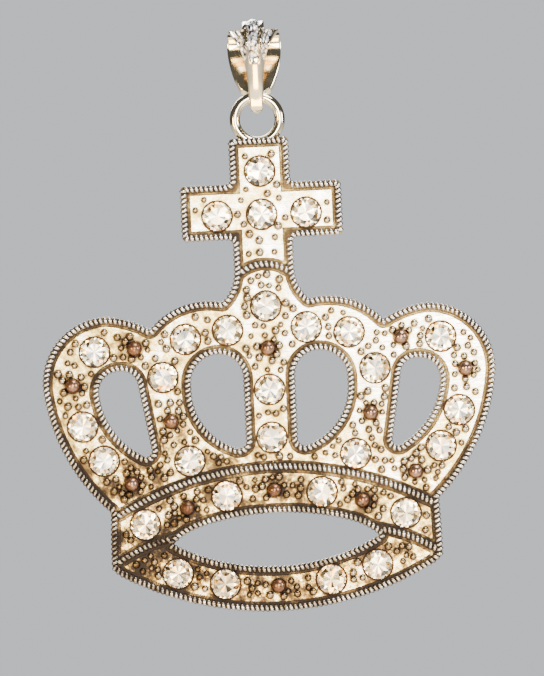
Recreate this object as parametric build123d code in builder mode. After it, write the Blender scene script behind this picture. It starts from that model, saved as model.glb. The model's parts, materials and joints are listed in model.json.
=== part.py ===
"""Crown pendant: a flat openwork crown with a cross, a ring, a bail and 29 cut stones.

Millimetres. +Z is up, X is across, and the decorated front faces -Y. The origin is the
middle of the bail's eye, where the chain runs. In the sketches below, heights are counted
from the crown's lowest point, and depths forward from the middle of the ring's wire.
"""

import os
from math import cos, pi

from build123d import *

os.makedirs("parts", exist_ok=True)

# ---- driving dimensions ----
EYE_HEIGHT = 72.7  # middle of the bail's eye above the crown's lowest point
EDGE_INSET = 0.15  # the plain edge lies this far inside the crests of the twisted border

BACK_DEPTH = -1.2  # flat back of the casting
CHANNEL_DEPTH = 0.55  # floor of the channel beside each border
FIELD_DEPTH = 0.85  # raised field that holds beads and stones
RIM_DEPTH = 0.95  # plain rim under the twisted border

RIM_INNER = 0.9  # inner edge of the rim, from the outline
FIELD_INSET = 1.35  # edge of the raised field, from the outline
BAND_RIM_HALF = 0.38  # half width of a rim that crosses the crown
BAND_GAP_HALF = 0.85  # half width of the gap that a crossing rim leaves in the field

STEM_HALF = 3.92
ARM_HALF = 10.4
ARM_LOW = 47.8
ARM_HIGH = 55.05
CROSS_TOP = 60.9
CORNER_ROUND = 0.6
CORNER_CUT = 2.0  # square that sharpens an inner corner of the cross's field

BEAD_RADIUS = 0.95
BEAD_RISE = 0.1  # bead centre above the field

STONE_RADIUS = 1.9
STONE_TABLE_RADIUS = 1.15
STONE_GIRDLE_LOW = 0.72
STONE_GIRDLE_HIGH = 0.87
STONE_TABLE_DEPTH = 1.35
STONE_POINT_DEPTH = -0.75
STONE_POINT_RADIUS = 0.12
STONE_FIT = 0.02  # play round the girdle

RING_HEIGHT = 63.17
RING_RADIUS = 2.88  # to the middle of the wire
WIRE_RADIUS = 0.65
RING_SEAT_PLAY = 0.05

WIRE_TOP = RING_HEIGHT + RING_RADIUS  # the bail turns about the wire here
SEAT_RADIUS = 0.9
SEAT_OUTER_RADIUS = 1.6
SEAT_OUTER_DROP = 0.9
EYE_RADIUS = 2.65
EYE_OUTER_RADIUS = 3.4
BAIL_TIP_HALF = 0.8
BAIL_TIP_LOW = 2.5  # bail's tip below the wire's middle
BAIL_KNEE_HALF = 0.88
BAIL_KNEE_LOW = 0.4
BAIL_NECK_HALF = 1.4
# the leaves' sides: (half width, height above the wire's middle)
FRONT_WING = (3.2, 8.55)
FRONT_WAIST = (1.45, 4)
FRONT_FOOT = (0.9, 0)
BACK_WING = (3.35, 8.3)
BACK_WAIST = (3.0, 3.2)
BACK_FOOT = (1.9, 0.3)

# stone name: (across, height); a place off the middle is mirrored left and right
MIDDLE_STONES = {
    "stone_cross_top": 56.5,
    "stone_cross_middle": 50.95,
    "stone_dome": 39.2,
    "stone_column_upper": 28.5,
    "stone_column_lower": 22.35,
}
PAIRED_STONES = {
    "stone_cross_arm": (5.7, 50.95),
    "stone_arch_inner": (5.05, 36.3),
    "stone_arch_outer": (10.5, 35.4),
    "stone_arch_foot": (13.6, 30.65),
    "stone_arch_low": (10.65, 19.8),
    "stone_lobe_top": (22.2, 34.3),
    "stone_lobe_side": (24.15, 24.8),
    "stone_lobe_low": (21.6, 20.3),
    "stone_band_inner": (6.1, 15.1),
    "stone_band_outer": (16.7, 11.9),
    "stone_base_inner": (6.8, 3.85),
    "stone_base_outer": (12.8, 5.45),
}
MIDDLE_BEADS = (33.8, 15.6, 3.35)
PAIRED_BEADS = (
    (17.1, 34.5),
    (25.2, 30.1),
    (12.8, 24.95),
    (18.2, 17.2),
    (11.25, 13.8),
)


def front_plane(depth):
    """A sketch plane that faces the viewer: across, then height above the crown's foot."""
    return Plane(origin=(0, -depth, -EYE_HEIGHT), x_dir=(1, 0, 0), z_dir=(0, -1, 0))


def front_place(across, height, depth):
    """The same place as a point of the part's own frame."""
    return (across, -depth, height - EYE_HEIGHT)


# ---- flat shapes of the crown ----
with BuildSketch(Plane.XY) as outline:
    with BuildLine():
        ThreePointArc((0, 0), (10.2, 1.3), (20.2, 5.35))
        Line((20.2, 5.35), (21.3, 6.3))
        ThreePointArc((21.3, 6.3), (21.25, 10), (21.1, 13.6))
        ThreePointArc((21.1, 13.6), (26.3, 20.4), (29, 29.1))
        ThreePointArc((29, 29.1), (27.3, 35.5), (20.5, 38.8))
        ThreePointArc((20.5, 38.8), (17.6, 38.2), (15.0, 37.0))
        ThreePointArc((15.0, 37.0), (11.4, 39.55), (5.6, 40.05))
        ThreePointArc((5.6, 40.05), (4.45, 41.6), (STEM_HALF, 43.7))
        Polyline(
            (STEM_HALF, 43.7),
            (STEM_HALF, ARM_LOW),
            (ARM_HALF, ARM_LOW),
            (ARM_HALF, ARM_HIGH),
            (STEM_HALF, ARM_HIGH),
            (STEM_HALF, CROSS_TOP),
            (0, CROSS_TOP),
            (0, 0),
        )
    make_face()
    mirror(about=Plane.YZ)
    fillet(outline.vertices().filter_by(lambda v: v.Y > ARM_LOW - 1), radius=CORNER_ROUND)
    low_corners = outline.vertices().filter_by(lambda v: abs(v.X) > 20 and v.Y < 7)
    fillet(low_corners, radius=CORNER_ROUND)

with BuildSketch(Plane.XY) as windows:
    with BuildLine():
        Line((3.4, 22.2), (3.4, 30.3))
        ThreePointArc((3.4, 30.3), (4.35, 32.35), (6.5, 33.2))
        ThreePointArc((6.5, 33.2), (8.9, 32.2), (9.95, 29.3))
        ThreePointArc((9.95, 29.3), (8.5, 24.2), (4.4, 21.25))
        ThreePointArc((4.4, 21.25), (3.7, 21.45), (3.4, 22.2))
    make_face()
    with BuildLine():
        Line((15.55, 21.6), (16.9, 29.6))
        ThreePointArc((16.9, 29.6), (17.65, 31.15), (19.1, 31.6))
        ThreePointArc((19.1, 31.6), (21.05, 30.85), (21.75, 28.5))
        ThreePointArc((21.75, 28.5), (20.2, 24.2), (16.7, 20.95))
        ThreePointArc((16.7, 20.95), (15.85, 20.8), (15.55, 21.6))
    make_face()
    mirror(about=Plane.YZ)

with BuildSketch(Plane.XY) as lens:
    with BuildLine():
        ThreePointArc((0, 5.95), (6.7, 6.75), (13.05, 9.25))
        ThreePointArc((13.05, 9.25), (11.6, 10.35), (9.8, 11.15))
        ThreePointArc((9.8, 11.15), (5, 12.25), (0, 12.6))
        Line((0, 12.6), (0, 5.95))
    make_face()
    mirror(about=Plane.YZ)


def inside_outline(inset):
    """The outline moved inwards, with the cross's inner corners kept sharp."""
    half = CORNER_CUT / 2
    across = STEM_HALF - inset + half
    with BuildSketch(Plane.XY) as inner:
        add(offset(outline.sketch, amount=-inset, mode=Mode.PRIVATE))
        for side in (-1, 1):
            for height in (ARM_HIGH - inset + half, ARM_LOW + inset - half):
                with Locations((side * across, height)):
                    Rectangle(CORNER_CUT, CORNER_CUT, mode=Mode.SUBTRACT)
    return inner.sketch


def crossing_bands(half_width):
    """The strips of the given half width that cross the crown: two arcs and the dome's arch."""
    with BuildSketch(Plane.XY) as bands:
        with BuildLine() as brow:
            ThreePointArc((0, 18.6), (10.6, 17.1), (20.6, 12.9))
        with BuildLine() as brow_mirror:
            mirror(brow.line, about=Plane.YZ)
        with BuildLine() as corner_arc:
            ThreePointArc((12.6, 10.25), (16.9, 9.0), (20.7, 6.9))
        with BuildLine() as corner_mirror:
            mirror(corner_arc.line, about=Plane.YZ)
        with BuildLine() as dome_arch:
            ThreePointArc((-4.9, 40.9), (0, 44.6), (4.9, 40.9))
        for path in (brow, brow_mirror, corner_arc, corner_mirror, dome_arch):
            trace(path.line, line_width=2 * half_width)
    return bands.sketch


with BuildSketch(Plane.XY) as plate_face:
    add(offset(outline.sketch, amount=-EDGE_INSET, mode=Mode.PRIVATE))
    add(offset(windows.sketch, amount=EDGE_INSET, mode=Mode.PRIVATE), mode=Mode.SUBTRACT)
    add(offset(lens.sketch, amount=EDGE_INSET, mode=Mode.PRIVATE), mode=Mode.SUBTRACT)

with BuildSketch(Plane.XY) as field_face:
    add(inside_outline(FIELD_INSET))
    add(offset(windows.sketch, amount=FIELD_INSET, mode=Mode.PRIVATE), mode=Mode.SUBTRACT)
    add(offset(lens.sketch, amount=FIELD_INSET, mode=Mode.PRIVATE), mode=Mode.SUBTRACT)
    add(crossing_bands(BAND_GAP_HALF), mode=Mode.SUBTRACT)

with BuildSketch(Plane.XY) as rim_face:
    add(plate_face.sketch)
    add(inside_outline(RIM_INNER), mode=Mode.SUBTRACT)
    with BuildSketch(Plane.XY, mode=Mode.PRIVATE) as inner_rims:
        add(offset(windows.sketch, amount=RIM_INNER, mode=Mode.PRIVATE))
        add(offset(lens.sketch, amount=RIM_INNER, mode=Mode.PRIVATE))
        add(crossing_bands(BAND_RIM_HALF))
        add(plate_face.sketch, mode=Mode.INTERSECT)
    add(inner_rims.sketch)

# ---- a stone, drawn at the origin with its table facing -Y ----
FACET_COUNT = 8
OCTAGON_RADIUS = STONE_RADIUS / cos(pi / FACET_COUNT)  # its flats touch the girdle's circle


def cut_stone(girdle_radius):
    """A round stone: faceted crown with a flat table, thin girdle, pointed faceted back."""
    scale_up = girdle_radius / STONE_RADIUS
    with BuildPart() as stone:
        with BuildSketch(Plane.XZ.offset(STONE_GIRDLE_LOW)):
            RegularPolygon(OCTAGON_RADIUS * scale_up, FACET_COUNT)
        with BuildSketch(Plane.XZ.offset(STONE_POINT_DEPTH)):
            RegularPolygon(STONE_POINT_RADIUS, FACET_COUNT)
        loft()
        with BuildSketch(Plane.XZ.offset(STONE_GIRDLE_LOW)):
            Circle(girdle_radius)
        extrude(amount=STONE_GIRDLE_HIGH - STONE_GIRDLE_LOW)
        with BuildSketch(Plane.XZ.offset(STONE_GIRDLE_HIGH)):
            RegularPolygon(OCTAGON_RADIUS * scale_up, FACET_COUNT)
        with BuildSketch(Plane.XZ.offset(STONE_TABLE_DEPTH)):
            RegularPolygon(STONE_TABLE_RADIUS, FACET_COUNT)
        loft()
        with BuildSketch(Plane.XZ.offset(STONE_POINT_DEPTH)):
            Circle(girdle_radius)
        extrude(amount=STONE_TABLE_DEPTH - STONE_POINT_DEPTH, mode=Mode.INTERSECT)
    return stone.part


def stone_cup():
    """What a stone's cup takes out of the casting: the stone's back and a straight mouth."""
    with BuildPart() as cup:
        add(cut_stone(STONE_RADIUS))
        with BuildSketch(Plane.XZ.offset(STONE_GIRDLE_LOW)):
            Circle(STONE_RADIUS + STONE_FIT)
        extrude(amount=STONE_TABLE_DEPTH - STONE_GIRDLE_LOW)
    return cup.part


stone_places = {}
for name, height in MIDDLE_STONES.items():
    stone_places[name] = front_place(0, height, 0)
for name, (across, height) in PAIRED_STONES.items():
    stone_places[name + "_left"] = front_place(-across, height, 0)
    stone_places[name + "_right"] = front_place(across, height, 0)

bead_places = []
for height in MIDDLE_BEADS:
    bead_places.append(front_place(0, height, FIELD_DEPTH + BEAD_RISE))
for across, height in PAIRED_BEADS:
    for side in (-1, 1):
        bead_places.append(front_place(side * across, height, FIELD_DEPTH + BEAD_RISE))

# ---- casting: plate, rims, raised fields, beads and stone cups ----
with BuildPart() as crown_casting:
    with BuildSketch(front_plane(BACK_DEPTH)):
        add(plate_face.sketch)
    extrude(amount=CHANNEL_DEPTH - BACK_DEPTH)
    with BuildSketch(front_plane(CHANNEL_DEPTH)):
        add(field_face.sketch)
    extrude(amount=FIELD_DEPTH - CHANNEL_DEPTH)
    with BuildSketch(front_plane(CHANNEL_DEPTH)):
        add(rim_face.sketch)
    extrude(amount=RIM_DEPTH - CHANNEL_DEPTH)
    with Locations(*bead_places):
        Sphere(BEAD_RADIUS)
    with Locations(*stone_places.values()):
        add(stone_cup(), mode=Mode.SUBTRACT)
    with Locations(front_place(0, RING_HEIGHT, 0)):
        Torus(
            RING_RADIUS,
            WIRE_RADIUS + RING_SEAT_PLAY,
            rotation=(90, 0, 0),
            mode=Mode.SUBTRACT,
        )
crown_casting.part.label = "crown_casting"
export_step(crown_casting.part, "parts/crown_casting.step")

# ---- ring: round wire, in the crown's own plane ----
with BuildPart() as hanging_ring:
    with Locations(front_place(0, RING_HEIGHT, 0)):
        Torus(RING_RADIUS, WIRE_RADIUS, rotation=(90, 0, 0))
hanging_ring.part.label = "hanging_ring"
export_step(hanging_ring.part, "parts/hanging_ring.step")

# ---- bail: a closed band whose side view is a drop, cut to two different leaves ----
WIRE_Z = WIRE_TOP - EYE_HEIGHT


def drop_profile(top_radius, low_radius, low_drop):
    """The hull of two circles in the side view: the eye's, and the wire seat's below it."""
    with BuildSketch(Plane.XY) as drop:
        with Locations((0, 0)):
            Circle(top_radius)
        with Locations((0, WIRE_Z - low_drop)):
            Circle(low_radius)
        make_hull()
    return drop.sketch


def leaf_block(wing, waist, foot, depth):
    """One leaf's front view as a block: round tip, knee, flared side, wing and neck.

    wing, waist and foot are (half width, height above the wire's middle).
    """
    top = EYE_HEIGHT + EYE_OUTER_RADIUS + 1
    points = [(half, WIRE_TOP + rise) for half, rise in (wing, waist, foot)]
    wing_point, waist_point, foot_point = points
    knee_point = (BAIL_KNEE_HALF, WIRE_TOP - BAIL_KNEE_LOW)
    tip_side = (BAIL_TIP_HALF, WIRE_TOP - BAIL_TIP_LOW + BAIL_TIP_HALF)
    tip_turn = (0.7 * BAIL_TIP_HALF, WIRE_TOP - BAIL_TIP_LOW + 0.3 * BAIL_TIP_HALF)
    tip = (0, WIRE_TOP - BAIL_TIP_LOW)
    with BuildPart() as block:
        with BuildSketch(front_plane(0)):
            with BuildLine():
                Polyline(tip, (0, top), (BAIL_NECK_HALF, top))
                Polyline((BAIL_NECK_HALF, top), (BAIL_NECK_HALF, wing_point[1]), wing_point)
                ThreePointArc(wing_point, waist_point, foot_point)
                Polyline(foot_point, knee_point, tip_side)
                ThreePointArc(tip_side, tip_turn, tip)
            make_face()
            mirror(about=Plane.YZ)
        extrude(amount=depth)
    return block.part


with BuildPart() as leaves:
    add(leaf_block(FRONT_WING, FRONT_WAIST, FRONT_FOOT, EYE_OUTER_RADIUS + 1))
    add(leaf_block(BACK_WING, BACK_WAIST, BACK_FOOT, -EYE_OUTER_RADIUS - 1))

with BuildPart() as bail:
    with BuildSketch(Plane.YZ):
        add(drop_profile(EYE_OUTER_RADIUS, SEAT_OUTER_RADIUS, SEAT_OUTER_DROP))
        add(drop_profile(EYE_RADIUS, SEAT_RADIUS, 0), mode=Mode.SUBTRACT)
    extrude(amount=BACK_WING[0] + 1, both=True)
    add(leaves.part, mode=Mode.INTERSECT)
bail.part.label = "bail"
export_step(bail.part, "parts/bail.step")

# ---- the stones, each a piece of its own ----
for name, place in stone_places.items():
    with BuildPart() as stone:
        with Locations(place):
            add(cut_stone(STONE_RADIUS))
    stone.part.label = name
    export_step(stone.part, "parts/" + name + ".step")
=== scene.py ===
# %% [markdown]
# # A crown pendant in cast metal and cut stone
# The pendant is a flat casting in the shape of a crown with a cross. Twisted borders, small
# granules and round beads stand up from it, and cut stones are glued into its cups. It hangs
# by a wire ring from a decorated bail. The frame holds the real sizes and the motion, and
# this lesson adds the surfaces.

# %% Load the frame
import json
import math
import random

import bmesh
import bpy
import numpy as np
from mathutils import Matrix, Vector, noise


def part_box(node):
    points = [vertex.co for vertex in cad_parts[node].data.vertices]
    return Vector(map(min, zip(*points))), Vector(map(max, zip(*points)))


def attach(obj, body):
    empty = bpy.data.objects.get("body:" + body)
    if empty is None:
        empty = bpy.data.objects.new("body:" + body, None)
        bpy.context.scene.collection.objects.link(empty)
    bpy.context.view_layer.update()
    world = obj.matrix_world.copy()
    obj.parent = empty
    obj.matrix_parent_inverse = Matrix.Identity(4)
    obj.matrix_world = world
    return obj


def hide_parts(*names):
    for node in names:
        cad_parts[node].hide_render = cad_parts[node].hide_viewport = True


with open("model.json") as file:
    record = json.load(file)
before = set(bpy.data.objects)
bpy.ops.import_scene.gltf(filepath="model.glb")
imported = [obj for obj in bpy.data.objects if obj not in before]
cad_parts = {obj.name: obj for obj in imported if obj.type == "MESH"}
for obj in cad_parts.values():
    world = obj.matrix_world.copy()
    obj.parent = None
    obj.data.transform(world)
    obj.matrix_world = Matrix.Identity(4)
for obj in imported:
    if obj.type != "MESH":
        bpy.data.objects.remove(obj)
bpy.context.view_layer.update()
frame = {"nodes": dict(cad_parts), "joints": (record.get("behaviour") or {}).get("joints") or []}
nodes = frame["nodes"]
MM = 0.001
print("nodes in the frame:", len(nodes))

# %% [markdown]
# ## Sizes that come from the frame
# Everything below is placed by the frame: the casting's flat back gives the outline and the
# windows, the stones' boxes give the cups, and the joints give the ring and the bail. Sizes
# are in millimetres until a mesh is made, because the pendant was designed in them.

# %% Places read from the frame
casting_low, casting_high = (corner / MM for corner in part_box("crown_casting"))
BACK_Y = casting_high.y
joint_places = {joint["name"]: Vector(joint["pos_m"]) / MM for joint in frame["joints"]}
WIRE_Z = joint_places["ring_swing"].z
RING_Z = joint_places["ring_slip"].z
FOOT_Z = casting_low.z
stone_nodes = sorted(name for name in nodes if name.startswith("stone_"))
stone_boxes = {name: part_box(name) for name in stone_nodes}
stone_places = {name: (low + high) / 2 / MM for name, (low, high) in stone_boxes.items()}
first_low, first_high = stone_boxes[stone_nodes[0]]
STONE_RADIUS = (first_high.x - first_low.x) / 2 / MM
TABLE_DEPTH = -first_low.y / MM
FIELD_DEPTH = 0.85  # raised field, forward of the ring's plane
print("stones:", len(stone_nodes), "radius", round(STONE_RADIUS, 2), "mm")


# %% [markdown]
# ## Small helpers
# Colours are written as sRGB hex values, as a colour picker gives them, and one function
# turns them to the linear values that a shader needs. Another adds a node with its settings
# and links in one call, which keeps the node trees short enough to read.

# %% Colour, node and mesh helpers
def srgb(code):
    """A hex colour as linear red, green, blue and full alpha."""
    parts = [int(code[i : i + 2], 16) / 255 for i in (1, 3, 5)]
    linear = [p / 12.92 if p <= 0.04045 else ((p + 0.055) / 1.055) ** 2.4 for p in parts]
    return (*linear, 1.0)


def add_node(tree, kind, settings=None, links=None):
    """Adds a node with its properties or sockets set, and with the named sockets linked.

    A link comes from a socket, or from a node, which means its first output.
    """
    node = tree.nodes.new(kind)
    for name, value in (settings or {}).items():
        if isinstance(name, str) and hasattr(node, name):
            setattr(node, name, value)
        else:
            node.inputs[name].default_value = value
    for name, source in (links or {}).items():
        if isinstance(source, bpy.types.Node):
            source = source.outputs[0]
        tree.links.new(source, node.inputs[name])
    return node


def new_material(name):
    """A material with an empty node tree."""
    material = bpy.data.materials.new(name)
    material.use_nodes = True
    material.node_tree.nodes.clear()
    return material, material.node_tree


def linked(name, data):
    """A new object in the scene that shows the given data."""
    piece = bpy.data.objects.new(name, data)
    bpy.context.scene.collection.objects.link(piece)
    return piece


def mesh_piece(name, points, faces, materials):
    """A smooth mesh object from points in millimetres, at the origin, its doubles merged."""
    mesh = bpy.data.meshes.new(name)
    mesh.from_pydata([Vector(p) * MM for p in points], [], faces)
    form = bmesh.new()
    form.from_mesh(mesh)
    bmesh.ops.remove_doubles(form, verts=form.verts, dist=0.001 * MM)
    bmesh.ops.recalc_face_normals(form, faces=form.faces)
    form.to_mesh(mesh)
    form.free()
    for material in materials:
        mesh.materials.append(material)
    mesh.polygons.foreach_set("use_smooth", [True] * len(mesh.polygons))
    return linked(name, mesh)


print("helpers ready")

# %% [markdown]
# ## Plated casting
# The crown is a zinc alloy casting, plated with silver that has a warm tint. A brown oxide
# was rubbed on and wiped off again, so it stays in the channels, in the gaps of the border
# and round each granule. Metal is bright where a cloth reaches and brown where it doesn't,
# and painted shade darkens the same places, so the brown follows two things: how deep the
# surface lies, and how closed in it is. A colour ramp then runs from silver through gold to
# dark brown. The gold is partly a thin oxide film and partly a painted warm reflection, and a
# painted warm light also grows towards the left and the bottom.

# %% Oxide and painted shade in deep and closed-in places
FRONT_FACING = (-0.2, -0.7)  # Y of the surface's direction, from none to all of the effect
BACK_FACING = (0.5, 0.9)
CLOSED_IN_REACH = 0.5  # oxide and painted shade fill a gap narrower than this, where a cloth's fold doesn't reach
CHANNEL_DEPTH_CAP = 0.5  # depth alone only makes wide channels golden: a painted warm reflection off the field's edge
BORDER_COVER = (0.88, 0.93)  # a rim this high lies under the border's lumps


def facing_share(tree, coords, band):
    """0 to 1 as the surface turns from the first to the second direction of a band."""
    direction = add_node(tree, "ShaderNodeSeparateXYZ", links={0: coords.outputs["Normal"]})
    return add_node(
        tree,
        "ShaderNodeMapRange",
        {"From Min": band[0], "From Max": band[1]},
        {"Value": direction.outputs["Y"]},
    )


def oxide_and_painted_recess_shade(tree, coords, place, depth_band, to_front):
    """Oxide and painted shade by depth and by how closed in a place is; to_front keeps the first
    to the front.
    """
    low, high = depth_band
    # darker the deeper the surface lies: oxide, with painted shade in the channels and under the
    # border
    deep = add_node(
        tree,
        "ShaderNodeMapRange",
        {
            "From Min": -high * MM,
            "From Max": -low * MM,
            "To Max": 1.0 if to_front is None else CHANNEL_DEPTH_CAP,
        },
        {"Value": place.outputs["Y"]},
    )
    if to_front is not None:
        # the rim is high, but the border's lumps cover it, so it gets oxide and painted shade too
        under_border = add_node(
            tree,
            "ShaderNodeMapRange",
            {"From Min": -BORDER_COVER[0] * MM, "From Max": -BORDER_COVER[1] * MM},
            {"Value": place.outputs["Y"]},
        )
        deep = add_node(
            tree, "ShaderNodeMath", {"operation": "MAXIMUM"}, {0: deep, 1: under_border}
        )
        deep = add_node(tree, "ShaderNodeMath", {"operation": "MULTIPLY"}, {0: deep, 1: to_front})
    # painted shade: ambient occlusion darkens closed-in places, and its lightest share tints the
    # field's edges gold as a painted warm reflection
    open_share = add_node(
        tree, "ShaderNodeAmbientOcclusion", {"Distance": CLOSED_IN_REACH * MM, "samples": 8}
    )
    shade = add_node(
        tree,
        "ShaderNodeMapRange",
        {"From Min": 0.9, "From Max": 0.35},
        {"Value": open_share.outputs["AO"]},
    )
    wiped = add_node(
        tree,
        "ShaderNodeTexNoise",
        {"Scale": 1 / (8 * MM), "Detail": 2.0},
        {"Vector": coords.outputs["Object"]},
    )
    kept = add_node(
        tree,
        "ShaderNodeMapRange",
        {"From Min": 0.38, "From Max": 0.6, "To Min": 0.45, "To Max": 1.0},
        {"Value": wiped},
    )
    deep = add_node(tree, "ShaderNodeMath", {"operation": "MULTIPLY"}, {0: deep, 1: kept})
    return add_node(tree, "ShaderNodeMath", {"operation": "MAXIMUM"}, {0: deep, 1: shade})


# %% Oxide film, and painted warm light on the left and low down
PATCH_SIZE = 2.6  # millimetres from one patch of film to the next
CREST_FILM_AND_WARMTH = 0.5  # crests get most of the cloth, so they keep this share of the film and of the painted warm light


def film_and_painted_warm_side(tree, coords, place, to_front, least_film):
    """An uneven film, with painted warm light that grows low down and on the left."""
    patches = add_node(
        tree,
        "ShaderNodeTexNoise",
        {"Scale": 1 / (PATCH_SIZE * MM), "Detail": 6.0, "Roughness": 0.78},
        {"Vector": coords.outputs["Object"]},
    )
    uneven = add_node(
        tree,
        "ShaderNodeMapRange",
        {"From Min": 0.4, "From Max": 0.62, "To Min": 0.15, "To Max": 1.75},
        {"Value": patches},
    )
    # painted warm light: the film's tone grows towards the left and towards the bottom, where the
    # warm lamps' gold falls
    across = add_node(
        tree,
        "ShaderNodeMapRange",
        {"From Min": 14 * MM, "From Max": -16 * MM, "To Min": 0.06, "To Max": 0.27},
        {"Value": place.outputs["X"]},
    )
    down = add_node(
        tree,
        "ShaderNodeMapRange",
        {"From Min": (FOOT_Z + 27) * MM, "From Max": (FOOT_Z + 10) * MM, "To Max": 0.33},
        {"Value": place.outputs["Z"]},
    )
    painted_warm_side = add_node(tree, "ShaderNodeMath", {"operation": "ADD"}, {0: across, 1: down})
    film_and_painted_warmth = add_node(tree, "ShaderNodeMath", {"operation": "MULTIPLY"}, {0: painted_warm_side, 1: uneven})
    if to_front is not None:
        film_and_painted_warmth = add_node(tree, "ShaderNodeMath", {"operation": "MULTIPLY"}, {0: film_and_painted_warmth, 1: to_front})
    else:
        film_and_painted_warmth = add_node(
            tree, "ShaderNodeMath", {"operation": "MULTIPLY", 1: CREST_FILM_AND_WARMTH}, {0: film_and_painted_warmth}
        )
    return add_node(tree, "ShaderNodeMath", {"operation": "ADD", 1: least_film}, {0: film_and_painted_warmth})


# %% Plated metal with brown oxide, painted shade and painted warm light
GRAIN_SIZE = 0.5  # millimetres from one grain of the cast surface to the next
SATIN_BACK = srgb("#A39B8E")


def oxidised_metal(name, ramp, depth_band, roughness, bump_mm, front_only=False, least_film=0.0):
    """Plated metal with oxide and painted shade where it is deep or closed in, and painted warm
    light to the left and low down.

    ramp is [(place, colour)] from bare to darkest, where oxide and painted shade meet, and
    depth_band is (all brown, all bright) in millimetres forward of the ring's plane. With
    front_only the sides stay bright and the back satin. least_film is a film that covers
    everything.
    """
    material, tree = new_material(name)
    coords = add_node(tree, "ShaderNodeTexCoord")
    place = add_node(tree, "ShaderNodeSeparateXYZ", links={0: coords.outputs["Object"]})
    to_front = facing_share(tree, coords, FRONT_FACING) if front_only else None
    oxide_and_recess_shade = oxide_and_painted_recess_shade(tree, coords, place, depth_band, to_front)
    film_and_painted_warmth = film_and_painted_warm_side(tree, coords, place, to_front, least_film)
    brown = add_node(
        tree,
        "ShaderNodeMath",
        {"operation": "MULTIPLY_ADD", 1: 0.9, "use_clamp": True},
        {0: oxide_and_recess_shade, 2: film_and_painted_warmth},
    )
    colours = add_node(tree, "ShaderNodeValToRGB", links={"Fac": brown})
    stops = colours.color_ramp.elements
    while len(stops) < len(ramp):
        stops.new(0.5)
    for stop, (position, colour) in zip(stops, ramp):
        stop.position = position
        stop.color = srgb(colour)
    if front_only:
        # the flat back was never polished bright, so it stays a satin grey
        colours = add_node(
            tree,
            "ShaderNodeMix",
            {"data_type": "RGBA", 7: SATIN_BACK},
            {0: facing_share(tree, coords, BACK_FACING), 6: colours},
        ).outputs[2]
    # oxide is a matt film, and the metal under it a cast surface with a fine grain, which
    # the polishing brush crossed from side to side
    stretched = add_node(
        tree,
        "ShaderNodeMapping",
        {"Scale": (0.22, 1.0, 1.0)},
        {"Vector": coords.outputs["Object"]},
    )
    grain = add_node(
        tree,
        "ShaderNodeTexNoise",
        {"Scale": 1 / (GRAIN_SIZE * MM), "Detail": 4.0, "Roughness": 0.62},
        {"Vector": stretched},
    )
    matt = add_node(
        tree,
        "ShaderNodeMapRange",
        {"To Min": roughness - 0.08, "To Max": roughness + 0.3},
        {"Value": brown},
    )
    rough = add_node(
        tree, "ShaderNodeMath", {"operation": "MULTIPLY_ADD", 1: 0.16}, {0: grain, 2: matt}
    )
    metallic = add_node(
        tree, "ShaderNodeMapRange", {"To Min": 1.0, "To Max": 0.6}, {"Value": brown}
    )
    bump = add_node(
        tree,
        "ShaderNodeBump",
        {"Strength": 0.6, "Distance": bump_mm * MM},
        {"Height": grain},
    )
    shader = add_node(
        tree,
        "ShaderNodeBsdfPrincipled",
        links={"Base Color": colours, "Metallic": metallic, "Roughness": rough, "Normal": bump},
    )
    add_node(tree, "ShaderNodeOutputMaterial", links={"Surface": shader})
    return material


# %% The casting's four finishes
# silver plate, bright and faintly brushed: gold that is partly a film and partly a painted
# warm reflection, and brown beside the borders that is partly oxide and partly painted shade
casting_metal = oxidised_metal(
    "silver_plated_casting",
    [(0.0, "#F4F2EC"), (0.24, "#E6CB78"), (0.5, "#705830"), (0.85, "#241A10")],
    (0.58, 0.84),
    0.22,
    0.09,
    front_only=True,
)
# polished silver crests, with painted shade on the flanks and oxide and painted shade in the
# nearly black gaps, which make the twist readable
border_metal = oxidised_metal(
    "twisted_border_silver",
    [(0.0, "#F4F3F1"), (0.24, "#B3A793"), (0.5, "#43372A"), (0.9, "#120D09")],
    (0.9, 1.18),
    0.18,
    0.008,
)
# small balls, glossy on top, with painted shade and oxide round their feet, so each has a dark
# circle
granule_metal = oxidised_metal(
    "granule_silver",
    [(0.0, "#EBE2CE"), (0.26, "#9A8058"), (0.5, "#453219"), (0.9, "#140C06")],
    (0.88, 1.24),
    0.12,
    0.006,
    least_film=0.1,
)
# oxidised copper brown with painted shade low on each bead, its crests polished: glossy dark dots
# between the bright stones
bead_metal = oxidised_metal(
    "bead_copper_brown",
    [(0.0, "#B79A86"), (0.35, "#7C573E"), (0.7, "#3A2312"), (1.0, "#170D07")],
    (0.9, 1.6),
    0.16,
    0.012,
    least_film=0.16,
)
nodes["crown_casting"].data.materials.clear()
nodes["crown_casting"].data.materials.append(casting_metal)
print("metals:", casting_metal.name, border_metal.name, granule_metal.name, bead_metal.name)

# %% [markdown]
# ## Bright wire and bail
# The ring and the bail were polished after plating. They have no oxide, only the faint
# waviness of hand polishing, which bends the reflections a little.

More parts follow.
